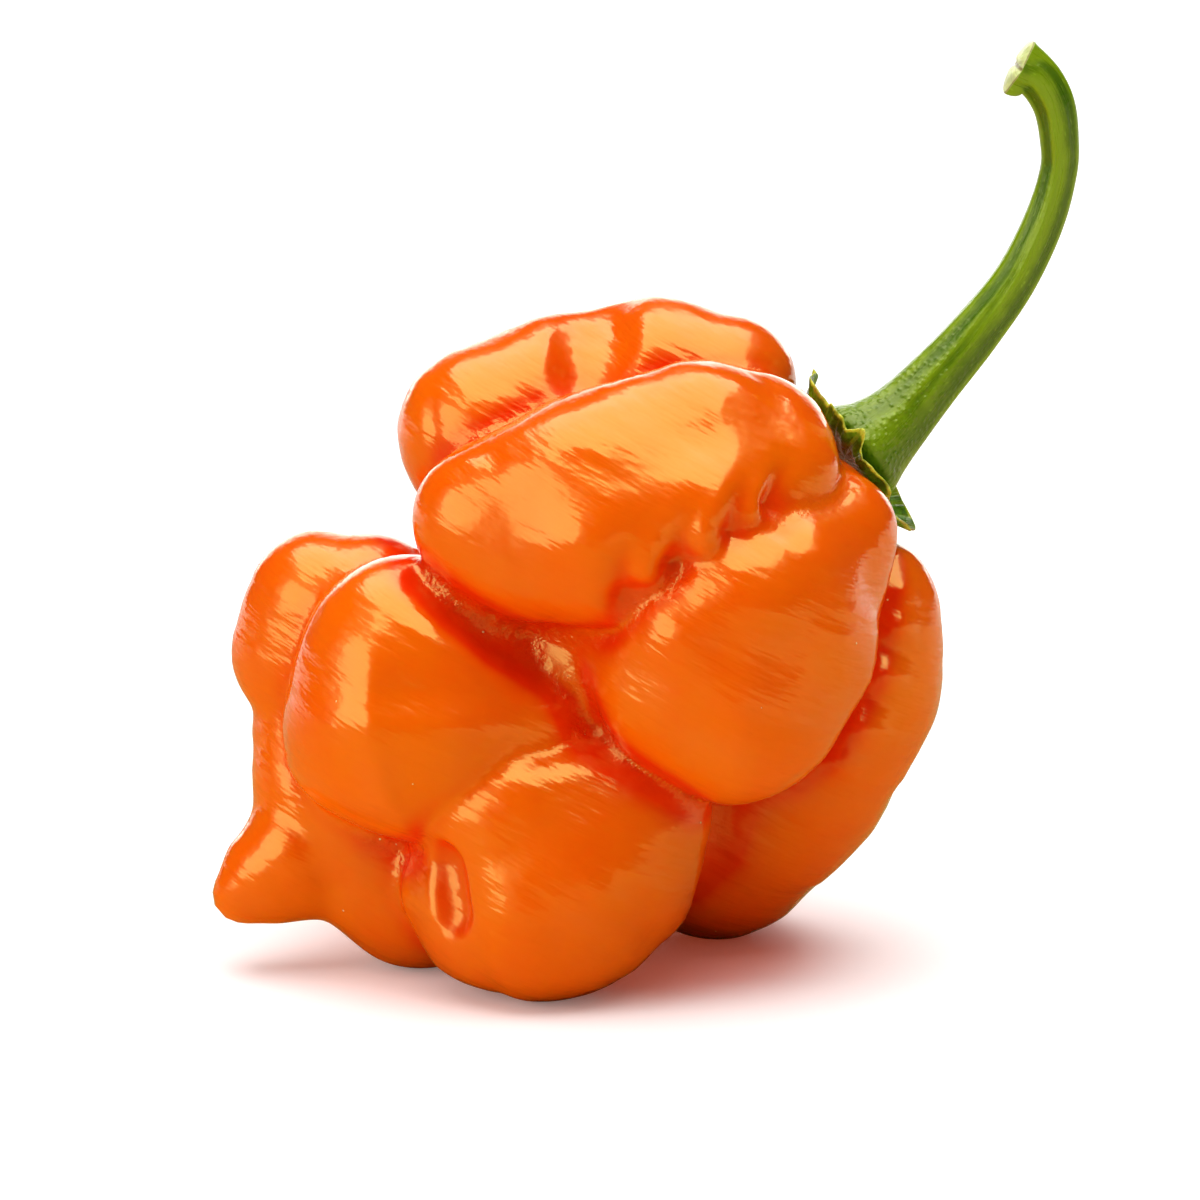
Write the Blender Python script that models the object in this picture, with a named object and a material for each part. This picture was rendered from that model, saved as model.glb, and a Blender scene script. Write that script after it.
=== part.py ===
"""A scotch bonnet pepper as picked: a lobed pod lying on its lobes, the calyx on its crown, and the stem.

Metres, +Z up, with the origin at the bottom centre of the whole pepper's box. The pod is one skin drawn
round strings of balls, one or more to a lobe. The calyx is a thin wavy saucer that follows the pod's
crown, and the stem is a fluted tube, flared at both ends, that stands in the saucer.
"""
import bmesh
import bpy
import numpy as np
from mathutils import Matrix, Vector

MM = 0.001                     # every length below is in millimetres and is turned into metres once
GAP = 0.3                      # clear space between two pieces that touch in nature

# ---- the pod: each lobe is one or more strings of balls (x, y, z, radius) -----------------------------
POD_CORE = (-2.8, -2.3, 20.8)  # every point of the skin can be seen from here
POD_AXIS = (16.0, 0.0, 12.6)   # from the tail to the calyx
POD_SEGMENTS = 72
POD_RINGS = 58
REACH = 34.0                   # no skin is further than this from the core
LOBE_BLEND = 0.8               # how softly the balls of one lobe run into each other
CREASE_BLEND = 0.35            # how softly two lobes meet
DENT_BLEND = 0.5

LOBES = {
    "back_top": [[(5.2, 1.2, 37.4, 4.4), (0.6, 2.7, 36.9, 5.5), (-5.0, 1.7, 35.9, 5.5),
                  (-9.6, 0.7, 34.2, 6.0)]],
    "front_top": [[(7.0, -5.4, 34.6, 4.7), (3.4, -7.2, 34.8, 4.9), (-2.0, -8.2, 32.7, 5.9),
                   (-8.4, -8.0, 30.2, 5.4)],
                  [(8.2, -8.2, 33.3, 3.8), (3.6, -11.4, 31.4, 4.2), (-2.2, -11.0, 29.8, 4.9),
                   (-6.8, -9.6, 28.9, 4.6)],
                  [(-10.4, -9.2, 31.0, 3.6), (-5.6, -10.0, 33.4, 3.7)]],
    "front_right": [[(11.6, -7.0, 26.6, 4.2), (8.8, -9.6, 23.4, 5.9), (5.4, -10.9, 20.2, 6.6),
                     (1.8, -11.4, 20.6, 4.8)],
                    [(12.4, -6.8, 29.3, 3.5), (8.8, -11.6, 27.6, 3.5), (5.9, -13.2, 26.6, 3.6),
                     (3.0, -13.4, 24.6, 3.8)],
                    [(1.0, -9.4, 21.0, 3.4), (-1.4, -8.8, 22.8, 2.8), (-3.2, -8.4, 24.4, 2.2)]],
    "right": [[(14.6, -0.3, 23.3, 4.2), (12.6, 0.7, 18.0, 5.4), (9.0, 2.7, 12.8, 6.9),
               (4.8, 6.2, 6.7, 7.0)],
              [(15.6, -0.8, 25.2, 2.0), (15.7, -1.4, 21.3, 2.4), (15.0, -2.0, 18.1, 2.6),
               (13.4, -2.2, 14.9, 3.0), (10.8, -1.4, 12.2, 4.0), (7.8, 0.6, 9.6, 5.1),
               (4.8, 3.0, 7.2, 6.0)]],
    "front_bottom": [[(-5.4, -9.2, 7.9, 7.4), (-2.9, -8.5, 9.6, 6.6), (-0.6, -8.2, 12.1, 4.9)],
                     [(-7.0, -10.4, 6.0, 6.0), (-8.7, -9.6, 5.9, 5.7)],
                     [(-5.0, -9.8, 13.0, 4.3), (-7.8, -10.8, 12.8, 3.9), (-9.7, -10.9, 11.7, 3.9)]],
    "fold_wall": [[(-13.0, -8.3, 8.3, 1.7), (-13.0, -8.8, 6.5, 1.9), (-10.7, -9.3, 4.1, 3.2)]],
    "front_left": [[(-7.0, -9.6, 17.8, 2.9), (-11.2, -8.8, 18.4, 5.0), (-13.9, -7.6, 18.0, 7.6),
                    (-13.9, -7.4, 20.6, 6.6)],
                   [(-16.4, -7.2, 17.0, 6.2), (-15.4, -7.6, 21.8, 5.6)]],
    "left_shoulder": [[(-17.3, -0.3, 24.3, 3.5), (-20.6, 0.7, 22.9, 4.5), (-21.9, 0.7, 19.8, 4.5)],
                      [(-17.4, -1.6, 22.6, 4.4), (-18.8, -1.0, 19.4, 4.6)]],
    "left_waist": [[(-20.9, -0.3, 15.1, 4.3), (-20.4, -1.3, 11.3, 4.8)]],
    "left_foot": [[(-14.1, -2.3, 5.6, 5.6), (-16.2, -2.3, 7.3, 5.3), (-18.9, -4.2, 11.0, 3.3)]],
    "tail": [[(-18.8, -2.3, 8.8, 5.4), (-22.1, -2.8, 7.3, 3.7), (-24.6, -3.3, 5.9, 2.3),
              (-26.2, -3.8, 4.8, 1.3)]],
    "back_right": [[(8.1, 5.7, 29.0, 4.9), (6.4, 9.7, 24.2, 6.9), (1.7, 10.1, 17.3, 7.4)]],
    "back_middle": [[(0.5, 8.7, 30.5, 5.5), (-5.4, 11.2, 26.5, 6.3), (-9.4, 9.7, 22.2, 5.3)]],
    "back_left": [[(-11.4, 8.7, 19.1, 5.3), (-14.7, 8.7, 14.3, 6.1), (-14.0, 6.7, 9.4, 5.3)]],
    "back_foot": [[(-3.5, 10.7, 9.8, 6.4), (-8.1, 8.7, 6.9, 6.4), (-10.7, 5.7, 4.9, 5.1)]],
    "left_back_web": [[(-11.5, 3.7, 24.0, 4.0), (-15.5, 5.2, 18.5, 4.6), (-16.0, 4.2, 12.0, 4.6)]],
    "underside": [[(-4.5, -1.5, 9.0, 5.5), (1.5, 0.5, 10.5, 6.0)]],
    "inside": [[(4.9, -1.3, 26.5, 9.3), (-2.8, -1.3, 20.6, 9.0), (-10.5, -1.3, 15.3, 7.4)]],
}
DENTS = {
    "top_valley": [[(-3.1, 1.3, 44.7, 3.0), (-3.3, -2.3, 42.8, 3.0), (-3.5, -4.4, 40.6, 3.0)]],
    "fold_pit": [[(-12.8, -13.3, 9.4, 1.3), (-12.3, -14.2, 6.4, 1.2)]],
}
FLOOR_BLOCK = (80.0, 60.0, 6.0)  # the block below z = 0 that flattens the lobes the pepper lies on

# ---- the calyx ----------------------------------------------------------------------------------------
CROWN = (12.9, -1.2, 33.0)       # the calyx's middle
CROWN_AXIS = (0.79, 0.26, 0.555)  # out of the pod and into the stem
CALYX_RADIUS = 5.6
CALYX_HALF_THICK = 0.22
CALYX_CUP = 1.1                  # how far the rim stands towards the stem
CALYX_TEETH = 6
CALYX_TOOTH = 0.45               # how far a tooth stands out of the rim
CALYX_WAVE = 0.35                # how far the rim waves up and down
CALYX_SEGMENTS = 48
CALYX_RINGS = 14

# ---- the stem: route points (x, y, z, radius) from the calyx to the cut end ---------------------------
STEM_ROUTE = [(15.0, -0.5, 34.5, 2.7), (16.5, 0.0, 35.8, 2.2), (18.5, 0.6, 37.9, 1.85),
              (21.2, 1.3, 40.9, 1.6), (23.7, 1.7, 44.2, 1.4), (25.5, 1.8, 47.9, 1.3),
              (26.4, 1.6, 51.2, 1.2), (26.4, 1.3, 53.4, 1.25), (26.0, 1.1, 55.6, 1.35),
              (25.0, 0.9, 57.3, 1.45), (23.8, 0.8, 58.0, 1.5)]
STEM_BASE_RADIUS = 3.3
STEM_STAND_OFF = 0.65            # from the calyx's middle to the stem's foot
STEM_SPAN_STEPS = 2              # path points between two route points
STEM_SIDES = 20
STEM_RIBS = 5
STEM_RIB_DEPTH = 0.05            # as a share of the radius

# ---- colours: linear red, green, blue -----------------------------------------------------------------
SKIN_ORANGE = (0.90, 0.16, 0.006)
CALYX_GREEN = (0.06, 0.16, 0.012)
STEM_GREEN = (0.13, 0.26, 0.016)


def clear_scene():
    for old in list(bpy.data.objects):
        bpy.data.objects.remove(old)


def new_collection(name):
    collection = bpy.data.collections.new(name)
    bpy.context.scene.collection.children.link(collection)
    return collection


def principled(name, colour, roughness):
    material = bpy.data.materials.new(name)
    material.use_nodes = True
    shader = material.node_tree.nodes["Principled BSDF"]
    shader.inputs["Base Color"].default_value = (*colour, 1.0)
    shader.inputs["Roughness"].default_value = roughness
    shader.inputs["Metallic"].default_value = 0.0
    return material


def add_object(name, data, collection):
    added = bpy.data.objects.new(name, data)
    collection.objects.link(added)
    return added


def unit(vector):
    vector = np.array(vector, float)
    return vector / np.linalg.norm(vector)


# ---- the pod's skin as a formula ----------------------------------------------------------------------
def string_distance(points, strings, blend):
    """Distance to strings of balls: the soft least of all their links, each with round ends.

    Along a link the radius eases from one ball to the next, by 3 t squared less 2 t cubed."""
    total = 0.0
    for balls in strings:
        balls = np.array(balls, float)
        for start, end in zip(balls[:-1], balls[1:]):
            link = end[:3] - start[:3]
            from_start = points - start[:3]
            along = np.clip(from_start @ link / (link @ link), 0.0, 1.0)
            off = np.linalg.norm(from_start - along[:, None] * link, axis=1)
            radius = start[3] + along * along * (3.0 - 2.0 * along) * (end[3] - start[3])
            total = total + np.exp(-(off - radius) / blend)
    return -blend * np.log(total)


def skin_distance(points):
    """Distance to the pod's skin, below zero inside: the soft least of the lobes, less the dents."""
    total = 0.0
    for strings in LOBES.values():
        lobe = np.clip(string_distance(points, strings, LOBE_BLEND), -25.0, 25.0)
        total = total + np.exp(-lobe / CREASE_BLEND)
    skin = -CREASE_BLEND * np.log(total)
    for strings in DENTS.values():
        dent = -string_distance(points, strings, DENT_BLEND)
        skin = np.maximum(skin, dent) + DENT_BLEND * np.log1p(np.exp(-np.abs(skin - dent) / DENT_BLEND))
    return skin


def skin_normal(points, step=0.02):
    """Direction in which the distance to the skin grows fastest."""
    here = skin_distance(points)
    slope = np.stack([skin_distance(points + step * side) - here for side in np.eye(3)], axis=1)
    return slope / np.maximum(np.linalg.norm(slope, axis=1, keepdims=True), 1e-9)


def drop_on_skin(directions, steps=60, stride=0.85):
    """Walks in from REACH along each direction until the skin is met."""
    reach = np.full(len(directions), REACH)
    core = np.array(POD_CORE)
    for _ in range(steps):
        reach = reach - stride * skin_distance(core + reach[:, None] * directions)
    return core + reach[:, None] * directions


def even_out(points, edges, rounds=10, rate=0.6):
    """Slides each point along the skin towards the middle of its neighbours, and back onto the skin."""
    count = np.bincount(edges.ravel(), minlength=len(points))[:, None]
    for _ in range(rounds):
        total = np.zeros_like(points)
        np.add.at(total, edges[:, 0], points[edges[:, 1]])
        np.add.at(total, edges[:, 1], points[edges[:, 0]])
        normal = skin_normal(points)
        move = total / count - points
        move -= np.sum(move * normal, axis=1, keepdims=True) * normal
        miss = np.clip(skin_distance(points), -0.5, 0.5)
        points = points + rate * move - 0.9 * miss[:, None] * normal
    return points


def sphere_mesh(name, segments, rings):
    """A unit sphere primitive as a mesh, with its points and edges as arrays."""
    shape = bmesh.new()
    bmesh.ops.create_uvsphere(shape, u_segments=segments, v_segments=rings, radius=1.0)
    mesh = bpy.data.meshes.new(name)
    shape.to_mesh(mesh)
    shape.free()
    points = np.array([vertex.co for vertex in mesh.vertices])
    edges = np.array([edge.vertices for edge in mesh.edges])
    return mesh, points, edges


def set_points(mesh, points):
    mesh.vertices.foreach_set("co", (points * MM).astype(np.float32).ravel())
    mesh.shade_smooth()
    mesh.update()


def make_pod(collection, helpers):
    """A sphere whose points are walked onto the skin, then cut flat where the pepper lies."""
    mesh, points, edges = sphere_mesh("pod", POD_SEGMENTS, POD_RINGS)
    turn = np.array(Vector(POD_AXIS).to_track_quat("Z", "Y").to_matrix())
    skin = drop_on_skin(points @ turn.T)
    set_points(mesh, even_out(skin, edges))
    pod = add_object("pod", mesh, collection)
    mesh.materials.append(principled("pod_skin", SKIN_ORANGE, 0.22))

    shape = bmesh.new()
    size = Vector(FLOOR_BLOCK) * MM
    place = Matrix.Translation((0.0, 0.0, -size.z / 2)) @ Matrix.Diagonal((*size, 1.0))
    bmesh.ops.create_cube(shape, size=1.0, matrix=place)
    block_mesh = bpy.data.meshes.new("floor_block")
    shape.to_mesh(block_mesh)
    shape.free()
    block = add_object("floor_block", block_mesh, helpers)
    block.hide_render = True
    block.display_type = "WIRE"
    cut = pod.modifiers.new("flat_where_it_lies", "BOOLEAN")
    cut.operation = "DIFFERENCE"
    cut.solver = "EXACT"
    cut.object = block
    return pod


def make_calyx(collection):
    """A sphere pressed into a saucer: cupped, toothed and waved at the rim, and held clear of the pod."""
    mesh, ball, _ = sphere_mesh("calyx", CALYX_SEGMENTS, CALYX_RINGS)
    axis = unit(CROWN_AXIS)
    across = unit(np.cross(axis, (0.0, 0.0, 1.0)))
    upward = np.cross(axis, across)
    share = np.hypot(ball[:, 0], ball[:, 1])
    turn = np.arctan2(ball[:, 1], ball[:, 0])
    radius = share * (CALYX_RADIUS + CALYX_TOOTH * share**2 * np.cos(CALYX_TEETH * turn))
    lift = CALYX_CUP * share**5 + CALYX_WAVE * share**6 * np.sin(3 * turn + 1.0)
    flat = (np.cos(turn) * radius)[:, None] * across + (np.sin(turn) * radius)[:, None] * upward
    middle = np.array(CROWN) + flat + lift[:, None] * axis
    clear = GAP + CALYX_HALF_THICK + 0.15
    for _ in range(12):
        short = np.maximum(clear - skin_distance(middle), 0.0)
        middle += short[:, None] * axis
    set_points(mesh, middle + (CALYX_HALF_THICK * ball[:, 2])[:, None] * axis)
    calyx = add_object("calyx", mesh, collection)
    mesh.materials.append(principled("calyx_green", CALYX_GREEN, 0.4))
    return calyx


def smooth_path(route, steps):
    """Catmull-Rom curve through the route's points, radius included."""
    route = np.array(route, float)
    ends = np.vstack([2 * route[0] - route[1], route, 2 * route[-1] - route[-2]])
    path = []
    for before, start, end, after in zip(ends[:-3], ends[1:-2], ends[2:-1], ends[3:]):
        for t in np.arange(steps) / steps:
            path.append(0.5 * (2 * start + (end - before) * t
                               + (2 * before - 5 * start + 4 * end - after) * t**2
                               + (3 * start - before - 3 * end + after) * t**3))
    path.append(route[-1])
    return np.array(path)


def make_stem(collection, helpers):
    """A curve with a ribbed outline carried along it, thick at the calyx and at the cut end."""
    turn = -np.arange(STEM_SIDES) / STEM_SIDES * 2 * np.pi
    rib = 1.0 + STEM_RIB_DEPTH * np.cos(STEM_RIBS * turn)
    outline = bpy.data.curves.new("stem_outline", "CURVE")
    outline.dimensions = "2D"
    ring = outline.splines.new("POLY")
    ring.points.add(STEM_SIDES - 1)
    for point, angle, size in zip(ring.points, turn, rib):
        point.co = (size * np.cos(angle) * MM, size * np.sin(angle) * MM, 0.0, 1.0)
    ring.use_cyclic_u = True
    outline_object = add_object("stem_outline", outline, helpers)
    outline_object.hide_render = True
    outline_object.display_type = "WIRE"

    axis = unit(CROWN_AXIS)
    base = np.array(CROWN) + STEM_STAND_OFF * axis
    route = [(*base, STEM_BASE_RADIUS), *STEM_ROUTE]
    curve = bpy.data.curves.new("stem", "CURVE")
    curve.dimensions = "3D"
    curve.bevel_mode = "OBJECT"
    curve.bevel_object = outline_object
    curve.use_fill_caps = True
    line = curve.splines.new("POLY")
    path = smooth_path(route, STEM_SPAN_STEPS)
    line.points.add(len(path) - 1)
    for point, (x, y, z, radius) in zip(line.points, path):
        point.co = (x * MM, y * MM, z * MM, 1.0)
        point.radius = radius
    line.use_smooth = True
    stem = add_object("stem", curve, collection)
    curve.materials.append(principled("stem_green", STEM_GREEN, 0.35))
    return stem


def main():
    clear_scene()
    pepper = new_collection("scotch_bonnet_pepper")
    helpers = new_collection("cutters_and_guides")
    make_pod(pepper, helpers)
    make_calyx(pepper)
    make_stem(pepper, helpers)


main()
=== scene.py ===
"""Looks of a scotch bonnet pepper: glossy folded skin, a wavy calyx, and a ribbed stem with its cut end.

Lengths are in millimetres unless a name says otherwise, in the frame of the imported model: +Z up, the origin
at the bottom centre of the pepper's box. The surfaces are worked out as whole numpy arrays.
"""

import bpy
import numpy as np
from bpy.props import FloatProperty, FloatVectorProperty, PointerProperty
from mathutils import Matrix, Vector


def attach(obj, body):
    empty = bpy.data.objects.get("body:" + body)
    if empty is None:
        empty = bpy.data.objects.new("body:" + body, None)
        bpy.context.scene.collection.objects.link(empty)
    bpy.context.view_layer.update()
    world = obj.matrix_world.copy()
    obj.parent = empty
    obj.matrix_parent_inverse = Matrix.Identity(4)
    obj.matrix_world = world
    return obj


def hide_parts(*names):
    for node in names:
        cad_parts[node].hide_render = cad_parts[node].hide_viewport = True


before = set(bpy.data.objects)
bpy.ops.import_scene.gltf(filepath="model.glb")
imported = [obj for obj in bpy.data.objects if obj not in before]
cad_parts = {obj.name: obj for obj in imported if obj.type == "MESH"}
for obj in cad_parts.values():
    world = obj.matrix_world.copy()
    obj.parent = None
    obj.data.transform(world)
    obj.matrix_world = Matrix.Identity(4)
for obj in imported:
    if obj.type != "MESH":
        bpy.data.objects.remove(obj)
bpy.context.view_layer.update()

bl_info = {
    "name": "Scotch bonnet pepper",
    "version": (1, 0, 0),
    "blender": (4, 5, 0),
    "location": "View3D > Sidebar > Pepper",
    "description": "Builds a scotch bonnet pepper's skin, calyx and stem round its packed solids",
    "category": "Add Mesh",
}

MM = 0.001
GAP = 0.3  # clear space between two pieces that touch in nature

# ---- the pod: each lobe is one or more strings of balls (x, y, z, radius) ----
POD_CORE = (-2.8, -2.3, 20.8)  # every point of the skin can be seen from here
REACH = 34.0                   # no skin is further than this from the core
LOBE_BLEND = 0.8               # how softly the balls of one lobe run into each other
CREASE_BLEND = 0.35            # how softly two lobes meet
DENT_BLEND = 0.5               # how softly a dent meets the skin
COARSE_CELLS = 42              # grid cells along a side of each of the ball's six faces
FINE_CELLS = 126
WALK_STEPS = 60                # steps in from REACH, each by this share of the distance to the skin
WALK_SHARE = 0.85
COARSE_ROUNDS = 24             # rounds of evening out, coarse and fine
FINE_ROUNDS = 6
NEAR = 1.2                     # how far above the skin its creases are felt, its hollows, and its basins
MIDDLE = 3.5
FAR = 8.0
SEAM_WIDTH = 0.8               # of the seam at the bottom of a crease

LOBES = {
    "back_top": [
        [(5.7, 1.2, 37.4, 4.4), (0.6, 2.7, 36.9, 5.5), (-5.0, 1.7, 35.9, 5.5), (-9.6, 0.7, 34.2, 6.0)],
    ],
    "front_top": [
        [(7.0, -5.4, 34.6, 4.7), (3.4, -7.2, 34.8, 4.9), (-2.0, -8.2, 32.7, 5.9), (-8.4, -8.0, 30.2, 5.4)],
        [(8.2, -8.2, 33.3, 3.8), (3.6, -11.4, 31.4, 4.2), (-2.2, -11.0, 29.8, 4.9), (-6.8, -9.6, 28.9, 4.6)],
        [(-10.4, -9.2, 31.0, 3.6), (-5.6, -10.0, 33.4, 3.7)],
    ],
    "front_right": [
        [(11.1, -7.0, 26.6, 4.2), (8.4, -9.6, 23.4, 5.9), (5.4, -10.9, 20.2, 6.6), (1.8, -11.4, 20.6, 4.8)],
        [(12.1, -6.8, 29.3, 3.5), (8.8, -11.6, 27.6, 3.5), (5.9, -13.2, 26.6, 3.6), (3.0, -13.4, 24.6, 3.8)],
        [(12.1, -6.8, 29.3, 3.0), (11.2, -4.8, 31.5, 2.2)],
        [(1.0, -9.4, 21.0, 3.4), (-1.4, -8.8, 22.8, 2.8), (-3.2, -8.4, 24.4, 2.2)],
    ],
    "right": [
        [(14.6, -0.3, 23.3, 4.2), (12.6, 0.7, 18.0, 5.4), (9.0, 2.7, 12.8, 6.9), (4.8, 6.2, 6.7, 7.0)],
        [(15.6, -0.8, 25.2, 2.0), (15.7, -1.4, 21.3, 2.4), (15.0, -2.0, 18.1, 2.6), (13.4, -2.2, 14.9, 3.0),
         (10.8, -1.4, 12.2, 4.0), (7.8, 0.6, 9.6, 5.1), (4.8, 3.0, 7.2, 6.0)],
    ],
    "front_bottom": [
        [(-5.4, -9.2, 7.9, 7.4), (-2.9, -8.5, 9.6, 6.6), (-0.6, -8.2, 12.1, 4.9)],
        [(-7.0, -10.4, 6.0, 6.0), (-8.7, -9.6, 5.9, 5.7)],
        [(-5.0, -9.8, 13.0, 4.3), (-7.8, -10.8, 12.8, 3.9), (-9.7, -10.9, 11.7, 3.9)],
    ],
    "fold_wall": [[(-13.0, -8.3, 8.3, 1.7), (-13.0, -8.8, 6.5, 1.9), (-10.7, -9.3, 4.1, 3.2)]],
    "front_left": [
        [(-7.0, -9.6, 17.8, 2.9), (-11.2, -8.8, 18.4, 5.0), (-13.9, -7.6, 18.0, 7.6),
         (-13.9, -7.4, 20.6, 6.6)],
        [(-16.4, -7.2, 17.0, 6.2), (-15.4, -7.6, 21.8, 5.6)],
    ],
    "left_shoulder": [
        [(-17.3, -0.3, 24.3, 3.5), (-20.6, 0.7, 22.9, 4.5), (-21.9, 0.7, 19.8, 4.5)],
        [(-17.4, -1.6, 22.6, 4.4), (-18.8, -1.0, 19.4, 4.6)],
    ],
    "left_waist": [[(-20.9, -0.3, 15.1, 4.3), (-20.4, -1.3, 11.3, 4.8)]],
    "left_foot": [[(-14.1, -2.3, 5.6, 5.6), (-16.2, -2.3, 7.3, 5.3), (-18.9, -4.2, 11.0, 3.3)]],
    "tail": [
        [(-18.8, -2.3, 8.8, 5.4), (-22.1, -2.8, 7.3, 3.7), (-24.6, -3.3, 5.9, 2.3), (-26.2, -3.8, 4.8, 1.3)],
    ],
    "back_right": [[(8.1, 5.7, 29.0, 4.9), (6.4, 9.7, 24.2, 6.9), (1.7, 10.1, 17.3, 7.4)]],
    "back_middle": [[(0.5, 8.7, 30.5, 5.5), (-5.4, 11.2, 26.5, 6.3), (-9.4, 9.7, 22.2, 5.3)]],
    "back_left": [[(-11.4, 8.7, 19.1, 5.3), (-14.7, 8.7, 14.3, 6.1), (-14.0, 6.7, 9.4, 5.3)]],
    "back_foot": [[(-3.5, 10.7, 9.8, 6.4), (-8.1, 8.7, 6.9, 6.4), (-10.7, 5.7, 4.9, 5.1)]],
    "left_back_web": [[(-11.5, 3.7, 24.0, 4.0), (-15.5, 5.2, 18.5, 4.6), (-16.0, 4.2, 12.0, 4.6)]],
    "underside": [[(-4.5, -1.5, 9.0, 5.5), (1.5, 0.5, 10.5, 6.0)]],
    "inside": [[(4.9, -1.3, 26.5, 9.3), (-2.8, -1.3, 20.6, 9.0), (-10.5, -1.3, 15.3, 7.4)]],
}
DENTS = {
    "top_valley": [[(-3.1, 1.3, 44.7, 3.0), (-3.3, -2.3, 42.8, 3.0), (-3.5, -4.4, 40.6, 3.0)]],
    "fold_pit": [[(-12.8, -13.3, 9.4, 1.3), (-12.3, -14.2, 6.4, 1.2)]],
}

# Soft grooves in the skin, and ridges where the depth is below zero: the lobe that carries one, its width,
# and its line, with the depth at each of its points.
FOLDS = [
    ("back_top", 1.8, [(-3.4, -1.2, 40.6, 0.05), (-3.7, -3.2, 38.4, 0.35)]),
    ("back_top", 0.6, [(-13.5, -3.3, 36.9, 0.12), (-13.1, -4.5, 33.8, 0.18)]),
    ("front_top", 1.3,
     [(-1.2, -15.1, 26.1, 0.35), (2.4, -15.6, 28.4, 0.55), (6.0, -14.8, 30.8, 0.55),
      (8.6, -12.8, 32.4, 0.35)]),
    ("front_top", 1.1, [(-1.3, -15.5, 27.3, 0.8), (-1.2, -16.2, 29.1, 0.5), (-0.9, -16.3, 31.0, 0.1)]),
    ("front_top", 1.0, [(1.8, -16.0, 29.2, 0.9), (2.4, -16.1, 31.0, 0.5), (3.2, -15.4, 33.0, 0.1)]),
    ("front_top", 1.0, [(5.2, -15.4, 31.4, 0.9), (5.9, -15.0, 33.0, 0.5), (6.7, -13.8, 34.6, 0.1)]),
    ("front_top", 0.8, [(7.7, -13.7, 32.8, 0.7), (8.3, -12.7, 34.0, 0.4), (8.9, -11.4, 35.0, 0.1)]),
    ("front_top", 1.1, [(0.2, -16.1, 28.7, -0.5), (0.8, -16.4, 30.4, -0.2)]),
    ("front_top", 1.1, [(3.6, -15.9, 30.7, -0.5), (4.3, -15.7, 32.3, -0.2)]),
    ("front_top", 0.8, [(6.6, -14.5, 32.2, -0.4), (7.3, -13.7, 33.6, -0.15)]),
    ("front_right", 1.2, [(8.6, -13.5, 30.4, 0.4), (10.4, -14.6, 27.6, 0.2)]),
    ("front_right", 1.2, [(1.9, -15.0, 27.3, 0.3), (4.3, -16.6, 24.3, 0.2)]),
    ("front_left", 2.0,
     [(-13.2, -10.2, 27.2, 0.8), (-11.2, -11.5, 25.8, 1.2), (-8.8, -11.6, 23.9, 1.0),
      (-6.6, -10.6, 22.0, 0.5)]),
    ("right", 1.1, [(16.4, -3.9, 24.9, -0.5), (17.5, -2.9, 24.7, -0.05)]),
    ("right", 1.0, [(16.2, -4.7, 22.9, -0.8), (17.5, -3.9, 22.5, -0.08)]),
    ("right", 1.2, [(15.3, -5.5, 19.9, -0.95), (17.0, -4.9, 19.3, -0.1)]),
    ("right", 1.3, [(13.8, -6.2, 16.6, -1.05), (15.8, -5.8, 15.9, -0.1)]),
    ("right", 1.2, [(12.6, -6.5, 14.3, -0.9), (14.4, -6.3, 13.5, -0.08)]),
]

# Hills and ripples of the skin: size and height.
SOFT_HILLS = [(9.0, 0.26), (4.5, 0.20), (1.9, 0.045)]
STREAK_AXIS = (0.45, 0.0, 0.89)  # streaks lie square to this
STREAK_ALONG = 0.55              # size along the axis
STREAK_ACROSS = 2.6              # and square to it
STREAK_HEIGHT = 0.026
SWELL_ALONG = 1.5                # the same for the broader swells
SWELL_ACROSS = 5.0
SWELL_HEIGHT = 0.05
CRINKLE_SIZE = 0.8               # small knots along the seams
CRINKLE_HEIGHT = 0.10
FOLD_EDGE = 0.3                  # how softly a fold ends where its lobe does
FOLD_SHADE = 1.1                  # how much a millimetre of fold adds to the painted shade of the creases

# ---- the calyx ----
CROWN = (12.9, -1.2, 33.0)        # the calyx's middle
CROWN_AXIS = (0.79, 0.26, 0.555)  # out of the pod and into the stem
CALYX_HALF_THICK = 0.16
# The rim, going round from the side that faces -Y: turn in degrees, reach from the middle, and lift.
CALYX_RIM = [
    (-90, 5.9, 1.3), (-78, 5.8, 0.6), (-65, 5.2, 0.3), (-50, 4.9, 0.0), (-37, 4.9, 0.45), (-28, 4.6, 0.2),
    (-19, 4.9, 0.95), (-8, 4.4, -0.1), (6, 4.5, -0.45), (20, 4.4, -0.5), (34, 4.3, -0.35), (46, 4.3, -0.1),
    (60, 4.4, -0.1), (75, 5.5, 0.1), (90, 6.3, 0.5), (100, 6.4, 1.1), (109, 4.9, 1.3), (120, 4.4, 1.7),
    (135, 5.1, 1.1), (152, 5.6, 1.2), (170, 5.0, 0.9), (190, 5.5, 1.0), (212, 5.2, 1.1), (235, 5.6, 0.8),
    (257, 5.5, 1.5),
]
CALYX_CURL = 0.40  # how far the rim's edge turns up towards the stem
CALYX_RAG = 0.30   # how far the edge wanders in and out
CALYX_ROUND = 5.6  # radius of the ring on which the noises along the rim are read
CALYX_LIFTS = 12   # steps that lift the sheet clear of the pod
CALYX_AROUND = 360
CALYX_ACROSS = 60

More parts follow.
